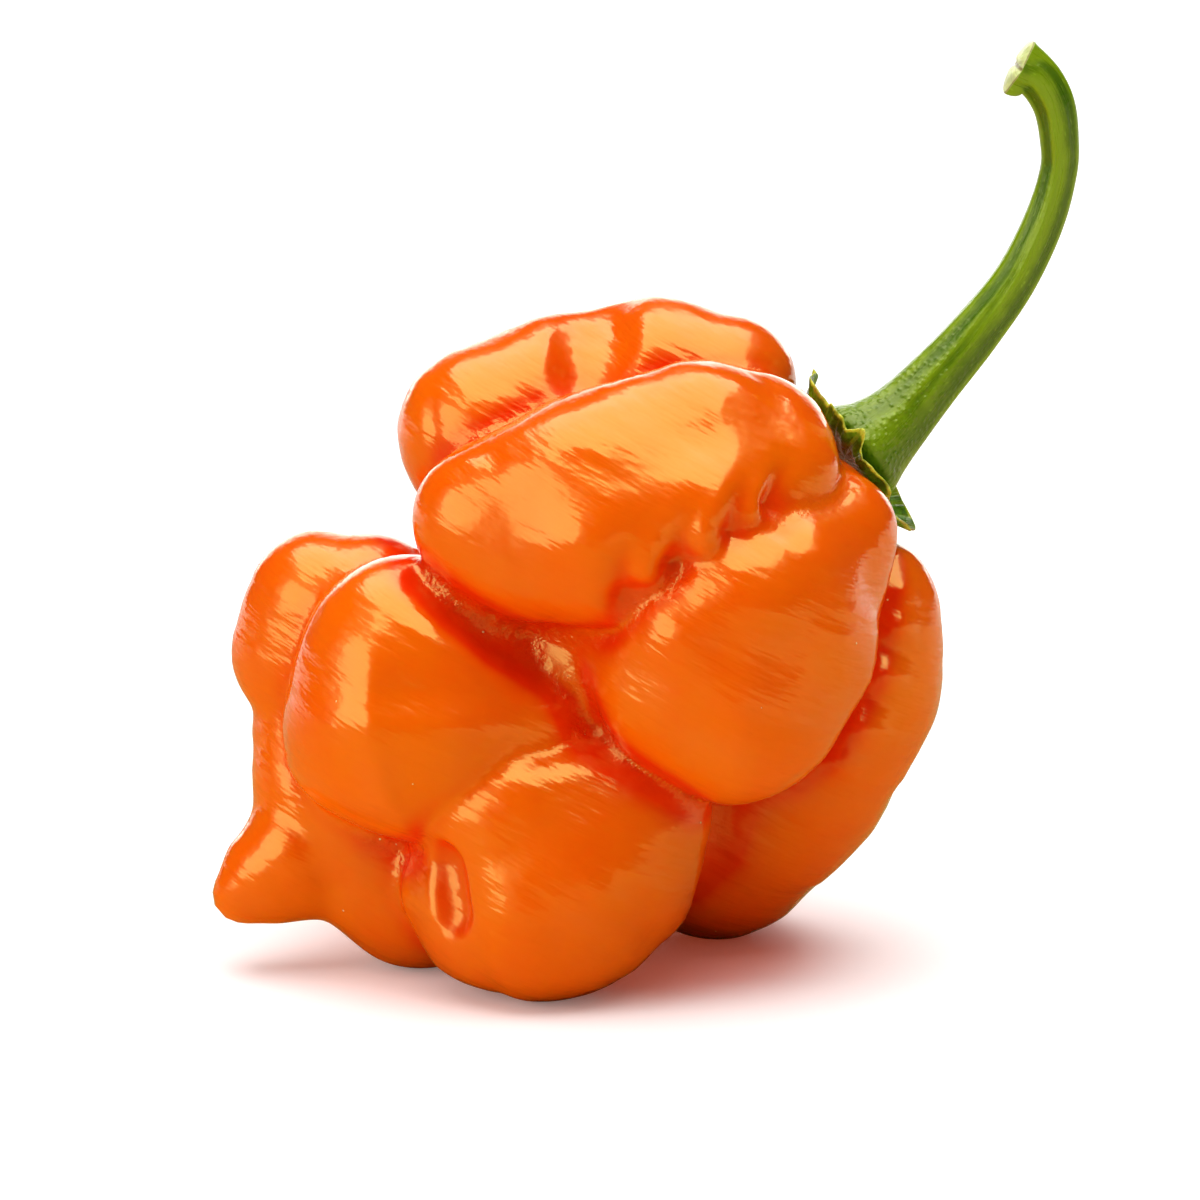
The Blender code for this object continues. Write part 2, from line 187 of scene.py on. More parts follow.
# ---- the stem: route points (x, y, z, radius) from the calyx to the cut end ----
STEM_ROUTE = [
    (15.0, -0.5, 34.5, 2.7), (16.5, 0.0, 35.8, 2.2), (18.5, 0.6, 37.9, 1.85), (21.2, 1.3, 40.9, 1.6),
    (23.7, 1.7, 44.2, 1.4), (25.5, 1.8, 47.9, 1.3), (26.4, 1.6, 51.2, 1.2), (26.4, 1.3, 53.4, 1.25),
    (26.0, 1.1, 55.6, 1.35), (25.0, 0.9, 57.3, 1.45), (23.8, 0.8, 58.0, 1.5),
]
STEM_BASE_RADIUS = 3.3
STEM_STAND_OFF = 0.65
STEM_FOOT_RADIUS = 2.7  # the foot rounds in under the base
STEM_FOOT_HEIGHT = 0.55
STEM_SPAN_STEPS = 18
STEM_AROUND = 144
STEM_CAP_RINGS = 22
STEM_CAP_RISE = 0.45
STEM_FLARE = 0.12       # how far the cut end flares, and its two lips beyond that, as shares
STEM_LIPS = 0.16
STEM_BARB = 0.35        # the barb between the lips, and its half width in radians
STEM_BARB_WIDTH = 0.09
STEM_SPLIT = 0.25       # depth of the groove between the lips, and its half width
STEM_SPLIT_WIDTH = 0.26
STEM_GRAIN = 12.0       # how long the fibres' pattern is for one turn's width of 2 pi

# ---- the stage ----
VIEW_AIM = (-2.8, -2.3, 24.1)  # what the camera looks at
VIEW_ELEVATION = 12.0          # degrees above the floor
VIEW_DISTANCE = 420.0
VIEW_WIDTH = 76.8              # how much the picture spans at the aim
SENSOR = 36.0
FLOOR_WIDTH = 6000.0
SIDE_WAY = (-58.0, 18.0)       # azimuth and elevation of each softbox, and its half angles
SIDE_HALF = (21.0, 23.0)
TOP_WAY = (0.0, 90.0)
TOP_HALF = (33.0, 33.0)
LIGHT_DISTANCE = 2000.0
BACKDROP = 3.0                 # radiance in reflections: behind, round the softboxes, and elsewhere
HALO = 0.7
DIM = 0.02


# ---- sizes and colours that a user would change ----
def length(name, description, millimetres):
    return FloatProperty(name=name, description=description, default=millimetres * MM, min=0.0,
                         unit="LENGTH", precision=5)


def colour(name, description, default):
    return FloatVectorProperty(name=name, description=description, default=default, subtype="COLOR", size=3,
                               min=0.0, max=1.0)


def share(name, description, default):
    return FloatProperty(name=name, description=description, default=default, min=0.0, max=1.0,
                         subtype="FACTOR")


def brightness(name, source, default):
    return FloatProperty(name=name, description="Radiance of the " + source, default=default, min=0.0)


class PodSettings(bpy.types.PropertyGroup):
    """Relief and colours of the skin."""
    streak_height: length("Streak height", "Height of the fine streaks", STREAK_HEIGHT)
    swell_height: length("Swell height", "Height of the broader swells", SWELL_HEIGHT)
    fold: share("Folds", "Share of the folds' full depth", 1.0)
    lit: colour("Skin", "Colour of the open skin", (0.80, 0.094, 0.0003))
    # the creases' colour is painted shade, a darker and redder copy of the skin's colour
    deep: colour("Creases", "Colour of the deep creases", (0.78, 0.026, 0.0001))
    speck: colour("Specks", "Colour of the specks", (1.0, 0.72, 0.32))


class CalyxSettings(bpy.types.PropertyGroup):
    """Thickness and colours of the calyx."""
    half_thick: length("Half thickness", "Half the thickness of the sheet", CALYX_HALF_THICK)
    flutter: length("Flutter", "Height of the small waves at the rim", 0.16)
    green: colour("Green", "Colour of the top", (0.10, 0.24, 0.006))
    rim: colour("Rim", "Colour of the dry rim", (0.60, 0.62, 0.05))
    # the underside's colour is painted shade
    brown: colour("Underside", "Colour of the underside", (0.17, 0.14, 0.008))


class StemSettings(bpy.types.PropertyGroup):
    """Relief and colours of the stem."""
    rib_depth: share("Rib depth", "Depth of the ribs as a share of the radius", 0.07)
    green: colour("Green", "Colour of the stem", (0.190, 0.290, 0.003))
    # the furrows' colour is painted shade
    furrow: colour("Furrows", "Colour between the ribs", (0.050, 0.118, 0.0006))
    cut: colour("Cut end", "Colour of the cut face", (0.62, 0.66, 0.26))


class StageSettings(bpy.types.PropertyGroup):
    """Brightness of the studio."""
    side_light: brightness("Side light", "softbox on the left", 2.5)
    top_light: brightness("Top light", "softbox above", 3.4)
    fill: brightness("Fill", "room on matt surfaces", 0.19)


# ---- small helpers ----
def unit(vector):
    """A vector, or each row of an array of vectors, at length one."""
    vector = np.array(vector, float)
    return vector / np.maximum(np.linalg.norm(vector, axis=-1, keepdims=True), 1e-12)


def soft_noise(points, size, seed):
    """Hills about `size` across, from -1 to 1: random values on a lattice, eased from one to the next."""
    lattice = np.random.default_rng(seed).uniform(-1.0, 1.0, (32, 32, 32))
    place = points / size + 4096.0
    cell = np.floor(place).astype(int)
    part = place - cell
    part = part * part * (3.0 - 2.0 * part)
    low, high = cell % 32, (cell + 1) % 32
    total = 0.0
    for x, wx in ((low[:, 0], 1 - part[:, 0]), (high[:, 0], part[:, 0])):
        for y, wy in ((low[:, 1], 1 - part[:, 1]), (high[:, 1], part[:, 1])):
            for z, wz in ((low[:, 2], 1 - part[:, 2]), (high[:, 2], part[:, 2])):
                total = total + lattice[x, y, z] * wx * wy * wz
    return total


def ease(value, low, high):
    """0 below `low`, 1 above `high`, and an even S between them."""
    part = np.clip((value - low) / (high - low), 0.0, 1.0)
    return part * part * (3.0 - 2.0 * part)


def new_piece(name, points, faces, material):
    """A smooth mesh object at the origin, from points in millimetres and anticlockwise faces."""
    mesh = bpy.data.meshes.new(name)
    mesh.from_pydata((points * MM).tolist(), [], faces)
    mesh.validate()
    mesh.shade_smooth()
    mesh.update()
    mesh.materials.append(material)
    piece = bpy.data.objects.new(name, mesh)
    bpy.context.scene.collection.objects.link(piece)
    return piece


def store(piece, **fields):
    """Stores a number or a vector for each point of a piece, for its material to read by name."""
    for name, values in fields.items():
        kind, part = ("FLOAT", "value") if values.ndim == 1 else ("FLOAT_VECTOR", "vector")
        attribute = piece.data.attributes.new(name, kind, "POINT")
        attribute.data.foreach_set(part, values.astype(np.float32).ravel())


def tube_faces(rows, columns):
    """Faces of a closed tube: quads between its rings, and a fan at each end to a last point of its own."""
    row, column = np.meshgrid(np.arange(rows - 1), np.arange(columns), indexing="ij")
    here = row * columns + column
    beside = row * columns + (column + 1) % columns
    quads = np.stack([here, beside, beside + columns, here + columns], -1).reshape(-1, 4)
    ring = np.arange(columns)
    after = (ring + 1) % columns
    start, end = rows * columns, rows * columns + 1
    last = (rows - 1) * columns
    fans = np.concatenate([np.stack([after, ring, np.full(columns, start)], -1),
                           np.stack([last + ring, last + after, np.full(columns, end)], -1)])
    return quads.tolist() + fans.tolist()


# ---- the pod's skin as a formula ----
def nearest_on(link, points):
    """How far along a link between two (x, y, z, value) each point is, from 0 to 1, and how far off it."""
    start, end = link
    run = end[:3] - start[:3]
    from_start = points - start[:3]
    along = np.clip(from_start @ run / (run @ run), 0.0, 1.0)
    return along, np.linalg.norm(from_start - along[:, None] * run, axis=1)


def string_distance(points, strings, blend):
    """Distance to strings of balls: the soft least of all their links, each a cone with round ends. Along a
    link the radius eases from one ball to the next, by 3 t squared less 2 t cubed."""
    total = 0.0
    for balls in strings:
        balls = np.array(balls, float)
        for link in zip(balls[:-1], balls[1:]):
            along, off = nearest_on(link, points)
            first, last = link[0][3], link[1][3]
            radius = first + along * along * (3.0 - 2.0 * along) * (last - first)
            total = total + np.exp(-(off - radius) / blend)
    return -blend * np.log(total)


def lobe_distances(points):
    """Distance from every point to every lobe, one column to a lobe."""
    return np.stack([string_distance(points, strings, LOBE_BLEND) for strings in LOBES.values()], axis=1)


def skin_distance(points):
    """Distance to the pod's skin, below zero inside: the soft least of the lobes, less the dents."""
    lobes = np.clip(lobe_distances(points), -25.0, 25.0)
    skin = -CREASE_BLEND * np.log(np.exp(-lobes / CREASE_BLEND).sum(axis=1))
    for strings in DENTS.values():
        dent = -string_distance(points, strings, DENT_BLEND)
        skin = np.maximum(skin, dent) + DENT_BLEND * np.log1p(np.exp(-np.abs(skin - dent) / DENT_BLEND))
    return skin


def skin_normal(points, step=0.02):
    """Direction in which the distance to the skin grows fastest, from a small step along each axis."""
    here = skin_distance(points)
    return unit(np.stack([skin_distance(points + step * side) - here for side in np.eye(3)], axis=1))


def folded_ball(cells):
    """Directions over a ball of six folded square grids with their shared edges merged, the number of each
    grid point's direction, and the quads."""
    line = np.tan(np.linspace(-np.pi / 4, np.pi / 4, cells + 1))
    u, v = np.meshgrid(line, line, indexing="ij")
    one = np.ones_like(u)
    sides = [(one, u, v), (-one, v, u), (v, one, u), (u, -one, v), (u, v, one), (v, u, -one)]
    points = unit(np.concatenate([np.stack(side, -1).reshape(-1, 3) for side in sides]))
    keys = np.round(points * 1e5).astype(int)
    _, first, merged = np.unique(keys, axis=0, return_index=True, return_inverse=True)
    merged = merged.reshape(6, cells + 1, cells + 1)
    corners = [merged[:, :-1, :-1], merged[:, 1:, :-1], merged[:, 1:, 1:], merged[:, :-1, 1:]]
    return points[first], merged, np.stack(corners, -1).reshape(-1, 4)


def finer(grids, cells):
    """Reads square grids of points at more even steps, on straight lines between their own points."""
    place = np.linspace(0.0, grids.shape[1] - 1.0, cells + 1)
    low = np.minimum(place.astype(int), grids.shape[1] - 2)
    part = (place - low)[:, None]
    grids = grids[:, low] * (1 - part[:, :, None]) + grids[:, low + 1] * part[:, :, None]
    return grids[:, :, low] * (1 - part) + grids[:, :, low + 1] * part


def even_out(points, quads, rounds, rate=0.6):
    """Slides each point along the skin towards the middle of its neighbours, and back onto the skin."""
    start = quads.ravel()
    end = np.roll(quads, -1, axis=1).ravel()
    count = np.bincount(start, minlength=len(points))[:, None]
    for _ in range(rounds):
        total = np.stack([np.bincount(start, points[end, axis], len(points)) for axis in range(3)], axis=1)
        normal = skin_normal(points)
        move = total / count - points
        move -= np.sum(move * normal, axis=1, keepdims=True) * normal
        miss = np.clip(skin_distance(points), -0.5, 0.5)
        points = points + rate * move - 0.9 * miss[:, None] * normal
    return points


def smooth_skin():
    """Points and quads over the smooth pod. A coarse ball is walked in from REACH along each direction until
    it meets the skin and is evened out, then read more finely and evened out again."""
    directions, merged, quads = folded_ball(COARSE_CELLS)
    core = np.array(POD_CORE)
    reach = np.full(len(directions), REACH)
    for _ in range(WALK_STEPS):
        reach = reach - WALK_SHARE * skin_distance(core + reach[:, None] * directions)
    points = even_out(core + reach[:, None] * directions, quads, COARSE_ROUNDS)
    grids = finer(points[merged], FINE_CELLS)
    _, merged, quads = folded_ball(FINE_CELLS)
    points = np.zeros((merged.max() + 1, 3))
    points[merged.ravel()] = grids.reshape(-1, 3)
    return even_out(points, quads, FINE_ROUNDS), quads


def shelter(points, normal, reach):
    """How much skin stands round each point: 0 where no skin is nearer than `reach` to the place that far
    above it, and up to 1 deep in a crease."""
    return 1.0 - skin_distance(points + reach * normal) / reach


def streaks(points, along, across, seed):
    """Noise drawn out square to the streak axis, a little bent, from -1 to 1."""
    axis = unit(STREAK_AXIS)
    side = unit(np.cross(axis, (0.0, 1.0, 0.0)))
    sides = np.stack([axis, side, np.cross(axis, side)])
    place = points @ sides.T
    place[:, 0] += 0.5 * soft_noise(points, 4.0, seed + 1)
    return soft_noise(place / (along, across, across), 1.0, seed)


def folds(points, lobes):
    """Depth of all the folds. One is a groove round a broken line: a bell curve of the distance to its
    nearest link, as deep as the place on the link says. It fades where its own lobe is not the nearest."""
    names = list(LOBES)
    shares = np.exp(-(lobes - lobes.min(axis=1, keepdims=True)) / FOLD_EDGE)
    shares = shares / shares.sum(axis=1, keepdims=True)
    total = np.zeros(len(points))
    for lobe, width, line in FOLDS:
        line = np.array(line)
        best = np.full(len(points), np.inf)
        depth = np.zeros(len(points))
        for link in zip(line[:-1], line[1:]):
            along, off = nearest_on(link, points)
            first, last = link[0][3], link[1][3]
            depth = np.where(off < best, first + along * (last - first), depth)
            best = np.minimum(off, best)
        total += shares[:, names.index(lobe)] * depth * np.exp(-(best / width) ** 2)
    return total


def skin_relief(points, seam, settings):
    """How far the smooth pod's points move along their normals: hills, swells, streaks, and seam knots."""
    relief = sum(height * soft_noise(points, size, 11 + i) for i, (size, height) in enumerate(SOFT_HILLS))
    relief = relief + settings.swell_height / MM * streaks(points, SWELL_ALONG, SWELL_ACROSS, 60)
    relief = relief + settings.streak_height / MM * streaks(points, STREAK_ALONG, STREAK_ACROSS, 90)
    return relief + CRINKLE_HEIGHT * seam * soft_noise(points, CRINKLE_SIZE, 33)


def make_pod(settings):
    """The skin with its relief, flattened where it lies on the floor. It stores how sheltered each point is,
    near and far, which the material turns partly into painted shade in the creases, and how close it is to
    the seam at a crease's bottom, where two lobes are equally near."""
    smooth, quads = smooth_skin()
    normal = skin_normal(smooth)
    crease = np.clip(shelter(smooth, normal, NEAR), 0.0, 1.0)
    lobes = lobe_distances(smooth)
    nearest = np.sort(lobes, axis=1)[:, :2]
    seam = np.exp(-((nearest[:, 1] - nearest[:, 0]) / SEAM_WIDTH) ** 2) * ease(crease, 0.05, 0.5)
    fold = settings.fold * folds(smooth, lobes)
    points = smooth + (skin_relief(smooth, seam, settings) - fold)[:, None] * normal
    points[:, 2] = np.maximum(points[:, 2], 0.0)
    # the folds add to the hollow, which sets how much painted shade the creases get
    hollow = shelter(smooth, normal, MIDDLE) + FOLD_SHADE * np.maximum(fold, 0.0)
    pod = new_piece("pepper_skin", points, quads.tolist(), skin_material(settings))
    store(pod, crease=crease, hollow=np.clip(hollow, 0.0, 1.0),
          basin=np.clip(shelter(smooth, normal, FAR), 0.0, 1.0), seam=seam)
    return pod


# ---- the calyx ----
def crown_basis():
    """The calyx's directions: out of the pod, towards the side that faces -Y, and downwards across it."""
    axis = unit(CROWN_AXIS)
    front = np.array((0.0, -1.0, 0.0))
    front = unit(front - (front @ axis) * axis)
    return axis, front, np.cross(axis, front)


def round_curve(knots, turn):
    """A smooth closed curve through (degrees, value...) knots, read at `turn` radians: Catmull-Rom with the
    slope at a knot taken between its two neighbours."""
    knots = np.array(knots, float)
    angle = np.radians(knots[:, 0])
    count = len(knots)
    turn = (turn - angle[0]) % (2 * np.pi)
    steps = np.append(angle, angle[0] + 2 * np.pi) - angle[0]
    low = np.clip(np.searchsorted(steps, turn, side="right") - 1, 0, count - 1)
    width = np.diff(steps)
    part = ((turn - steps[low]) / width[low])[..., None]
    values = knots[:, 1:]
    gap = width + np.roll(width, 1)
    slope = (np.roll(values, -1, axis=0) - np.roll(values, 1, axis=0)) / gap[:, None]
    start, end = values[low], values[(low + 1) % count]
    run = width[low][..., None]
    lead, tail = slope[low] * run, slope[(low + 1) % count] * run
    return ((2 * part**3 - 3 * part**2 + 1) * start + (part**3 - 2 * part**2 + part) * lead
            + (3 * part**2 - 2 * part**3) * end + (part**3 - part**2) * tail)


def rim_ring(turn, height):
    """Points round a ring, each at its own height, where the noises along the rim are read."""
    height = np.broadcast_to(height, turn.shape)
    return np.stack([np.cos(turn) * CALYX_ROUND, np.sin(turn) * CALYX_ROUND, height], -1)


def calyx_sheet(out, turn, flutter):
    """The middle of the sheet. `out` runs from 0 in the middle to 1 at the rim: the reach grows evenly with
    it, the lift with its fourth power, and small waves with its sixth. A ragged noise moves the rim."""
    axis, front, low = crown_basis()
    rim = round_curve(CALYX_RIM, turn)
    ragged = soft_noise(rim_ring(turn, 0.0), 0.5, seed=7)
    waved = soft_noise(rim_ring(turn, 9.0), 0.9, seed=8)
    reach = out * (rim[:, 0] + CALYX_RAG * out**6 * ragged)
    lift = rim[:, 1] * out**4 + flutter * out**6 * waved
    return (np.array(CROWN) + (reach * np.cos(turn))[:, None] * front + (reach * np.sin(turn))[:, None] * low
            + lift[:, None] * axis)


def make_calyx(settings):
    """A thin closed sheet: from the middle of its top it runs out to the rim, round it and back underneath.
    It is lifted along its axis wherever the pod would be closer than the gap, and its edge curls up."""
    axis = crown_basis()[0]
    half = settings.half_thick / MM
    swing = np.linspace(0.0, np.pi, CALYX_ACROSS + 2)[1:-1]
    turn = np.tile(np.arange(CALYX_AROUND) / CALYX_AROUND * 2 * np.pi, CALYX_ACROSS)
    turn = np.append(turn, (0.0, 0.0))
    out = np.append(np.repeat(np.sin(swing) ** 0.75, CALYX_AROUND), (0.0, 0.0))
    side = np.append(np.repeat(np.cos(swing), CALYX_AROUND), (1.0, -1.0))
    points = calyx_sheet(out, turn, settings.flutter / MM)
    for _ in range(CALYX_LIFTS):
        short = np.maximum(GAP + half - skin_distance(points), 0.0)
        points = points + short[:, None] * axis
    curl = 1.0 + 0.9 * soft_noise(rim_ring(turn, 4.0), 1.6, seed=21)
    curl = CALYX_CURL * curl * ease(out, 0.80, 1.02)
    points = points + curl[:, None] * axis
    veins = soft_noise(rim_ring(turn, out), 0.7, seed=5)
    bead = 1.0 + 0.45 * ease(out, 0.90, 1.0) + 0.35 * veins * ease(out, 0.2, 0.6)
    points = points + (half * bead * np.sign(side) * np.abs(side) ** 0.6)[:, None] * axis
    faces = tube_faces(CALYX_ACROSS, CALYX_AROUND)
    calyx = new_piece("pepper_calyx", points, faces, calyx_material(settings))
    store(calyx, out=out, under=ease(-side, -0.05, 0.25), ray=rim_ring(turn, 1.5 * out))
    return calyx


# ---- the stem ----
def smooth_path(route, steps):
    """Catmull-Rom curve through the route's points, radius included."""
    route = np.array(route, float)
    ends = np.vstack([2 * route[0] - route[1], route, 2 * route[-1] - route[-2]])
    before, start, end, after = (ends[i:len(ends) - 3 + i, None] for i in range(4))
    t = (np.arange(steps) / steps)[None, :, None]
    path = 0.5 * (2 * start + (end - before) * t + (2 * before - 5 * start + 4 * end - after) * t**2
                  + (3 * start - before - 3 * end + after) * t**3)
    return np.vstack([path.reshape(-1, 4), route[-1]])


def stem_rib(turn, along, depth):
    """The stem's outline as a share of its radius: five ribs of unlike height, shallow near the calyx, where
    the skin is pebbled, and deeper towards the cut end, with one narrow furrow."""
    ribs = (0.55 * np.cos(5 * turn + 0.6 * along) + 0.30 * np.cos(3 * turn + 1.1 - 1.2 * along)
            + 0.25 * np.cos(8 * turn + 2.0 + along))
    off = np.abs((turn + 0.5 * along + np.pi) % (2 * np.pi) - np.pi)
    furrow = 0.9 * np.exp(-(off / 0.16) ** 2) * ease(along, 0.10, 0.22) * (1.0 - ease(along, 0.45, 0.75))
    return 1.0 + depth * ((0.35 + 0.65 * ease(along, 0.05, 0.35)) * ribs - furrow)


def make_stem(settings):
    """Rings carried along the route. Each lies square to it, and its first direction is level, so that the
    ribs run without a twist. The cut end flares into two lips with a barb between them, and closes over a
    low dome that a groove splits."""
    axis = unit(CROWN_AXIS)
    base = np.array(CROWN) + STEM_STAND_OFF * axis
    foot = [(*base, STEM_FOOT_RADIUS), (*(base + STEM_FOOT_HEIGHT * axis), STEM_BASE_RADIUS)]
    path = smooth_path(foot + STEM_ROUTE, STEM_SPAN_STEPS)
    place, radius = path[:, :3], path[:, 3]
    forward = unit(np.gradient(place, axis=0))
    forward = np.vstack([forward, np.repeat(forward[-1:], STEM_CAP_RINGS, axis=0)])
    level = unit(np.cross(forward, np.cross((0.0, -1.0, 0.0), forward)))
    upward = np.cross(forward, level)
    stretch = np.linalg.norm(np.diff(place, axis=0), axis=1)
    along = np.append(0.0, np.cumsum(stretch)) / stretch.sum()

    swing = np.linspace(0.0, 1.0, STEM_CAP_RINGS + 1)[1:]
    cap_share = np.cos(swing * np.pi / 2 * 0.97)
    cap_rise = STEM_CAP_RISE * np.sin(swing * np.pi / 2)
    place = np.vstack([place, place[-1] + cap_rise[:, None] * forward[-1]])
    size = np.append(radius, radius[-1] * cap_share)
    grow = np.append(along, np.ones(STEM_CAP_RINGS))
    cut = np.append(np.zeros(len(radius)), ease(swing, 0.0, 0.3))

    turn = np.arange(STEM_AROUND) / STEM_AROUND * 2 * np.pi
    turn_grid, grow_grid = np.meshgrid(turn, grow)
    flare = ease(grow_grid, 0.955, 1.0)
    barb = STEM_BARB * np.exp(-((turn_grid - np.pi) / STEM_BARB_WIDTH) ** 2)
    lips = 1.0 + flare * (STEM_FLARE - STEM_LIPS * np.cos(2 * turn_grid) + barb)
    reach = size[:, None] * stem_rib(turn_grid, grow_grid, settings.rib_depth) * lips
    upright = reach * np.sin(turn_grid)
    split = np.where(cut[:, None] > 0.0, np.exp(-(upright / STEM_SPLIT_WIDTH) ** 2), 0.0)
    split = split * ease(cut, 0.0, 1.0)[:, None]
    rings = (place[:, None] + (reach * np.cos(turn_grid))[..., None] * level[:, None]
             + upright[..., None] * upward[:, None] - STEM_SPLIT * split[..., None] * forward[-1])
    points = np.vstack([rings.reshape(-1, 3), place[:1], place[-1:] - STEM_SPLIT * forward[-1:]])
    faces = tube_faces(len(place), STEM_AROUND)
    stem = new_piece("pepper_stem", points, faces, stem_material(settings))
    across = np.stack([np.cos(turn_grid), np.sin(turn_grid), grow_grid * STEM_GRAIN], -1).reshape(-1, 3)
    store(stem, along=np.append(np.repeat(grow, STEM_AROUND), (0.0, 1.0)),
          cut=np.append(np.repeat(cut, STEM_AROUND), (0.0, 1.0)), split=np.append(split, (0.0, 1.0)),
          rib=np.append(reach / size[:, None] - 1.0, (0.0, 0.0)),
          grain=np.vstack([across, (0.0, 0.0, 0.0), (0.0, 0.0, STEM_GRAIN)]))
    return stem


# ---- materials ----
class Nodes:
    """A short way to add nodes to a tree and wire them. An input is a number, a colour or a socket."""

    def __init__(self, tree):
        self.tree = tree

    def add(self, kind, output=0, inputs=(), **values):
        """A new node's output, or all its outputs if `output` is None."""
        node = self.tree.nodes.new(kind)
        for name, value in values.items():
            setattr(node, name, value)
        for socket, value in dict(inputs).items():
            self.put(node.inputs[socket], value)
        return node.outputs if output is None else node.outputs[output]

    def put(self, socket, value):
        if isinstance(value, bpy.types.NodeSocket):
            self.tree.links.new(value, socket)
        else:
            socket.default_value = (*value, 1.0) if socket.type == "RGBA" else value

    def attribute(self, name, output="Fac"):
        return self.add("ShaderNodeAttribute", output, attribute_name=name)

    def math(self, operation, first, second, clamp=False):
        return self.add("ShaderNodeMath", 0, {0: first, 1: second}, operation=operation, use_clamp=clamp)

    def times(self, first, second):
        return self.math("MULTIPLY", first, second)

    def plus(self, total, *others, clamp=False):
        for other in others:
            total = self.math("ADD", total, other, clamp)
        return total

    def span(self, value, low, high, to_low=0.0, to_high=1.0):
        """The value's place between low and high, as an even S, on a scale from to_low to to_high."""
        return self.add("ShaderNodeMapRange", 0, {"Value": value, "From Min": low, "From Max": high,
                                                  "To Min": to_low, "To Max": to_high},
                        interpolation_type="SMOOTHSTEP")

    def mix(self, part, first, second):
        return self.add("ShaderNodeMix", 2, {0: part, 6: first, 7: second}, data_type="RGBA")

    def noise(self, vector, size, detail=2.0, roughness=0.5):
        """Noise whose hills are about `size` metres across."""
        return self.add("ShaderNodeTexNoise", "Fac", {"Vector": vector, "Scale": 0.5 / size,
                                                      "Detail": detail, "Roughness": roughness})

    def mottle(self, vector, patch, grain):
        """The shared group's patches about `patch` metres across, and its grain about `grain` across."""
        return self.add("ShaderNodeGroup", None, {0: vector, 1: 0.5 / patch, 2: 0.5 / grain},
                        node_tree=grown_mottle())

    def stretched(self, vector, scale):
        return self.add("ShaderNodeMapping", 0, {"Vector": vector, "Scale": scale})

    def place(self):
        return self.add("ShaderNodeTexCoord", "Object")

    def bump(self, height, distance):
        return self.add("ShaderNodeBump", 0, {"Height": height, "Distance": distance})

    def axes(self, vector):
        """A vector's X, Y and Z."""
        return self.add("ShaderNodeSeparateXYZ", None, {0: vector})

    def cells(self, vector, size, feature="F1"):
        """A pattern of cells about `size` metres across."""
        return self.add("ShaderNodeTexVoronoi", None, {"Vector": vector, "Scale": 1.0 / size},
                        feature=feature)


def new_material(name):
    """A material with a Principled BSDF, its node helper and the shader's sockets."""
    material = bpy.data.materials.new(name)
    material.use_nodes = True
    return material, Nodes(material.node_tree), material.node_tree.nodes["Principled BSDF"].inputs


def shine_through(shader, weight, radius, scale):
    """How much light, and how far in metres each colour of it, goes under the surface."""
    shader["Subsurface Weight"].default_value = weight
    shader["Subsurface Radius"].default_value = radius
    shader["Subsurface Scale"].default_value = scale


def shades(base, *factors):
    """A colour made darker or paler by each factor."""
    return [tuple(factor * part for part in base) for factor in factors]


def grown_mottle():
    """The node group that the skin, the calyx and the stem share. From a place it gives soft patches, from
    0 to 1, and the height of a fine grain laid over them."""
    if "grown_mottle" in bpy.data.node_groups:
        return bpy.data.node_groups["grown_mottle"]
    group = bpy.data.node_groups.new("grown_mottle", "ShaderNodeTree")
    group.interface.new_socket("Vector", in_out="INPUT", socket_type="NodeSocketVector")
    for name in ("Patches per metre", "Grains per metre"):
        group.interface.new_socket(name, in_out="INPUT", socket_type="NodeSocketFloat")
    for name in ("Patch", "Grain"):
        group.interface.new_socket(name, in_out="OUTPUT", socket_type="NodeSocketFloat")
    nodes = Nodes(group)
    entry = group.nodes.new("NodeGroupInput")
    leave = group.nodes.new("NodeGroupOutput")
    patch = nodes.add("ShaderNodeTexNoise", "Fac", {"Vector": entry.outputs[0], "Scale": entry.outputs[1],
                                                    "Detail": 3.0, "Roughness": 0.6})
    grain = nodes.add("ShaderNodeTexNoise", "Fac", {"Vector": entry.outputs[0], "Scale": entry.outputs[2],
                                                    "Detail": 2.0, "Roughness": 0.55})
    nodes.put(leave.inputs[0], nodes.span(patch, 0.35, 0.65))
    nodes.put(leave.inputs[1], nodes.plus(grain, nodes.times(patch, 0.4)))
    return group


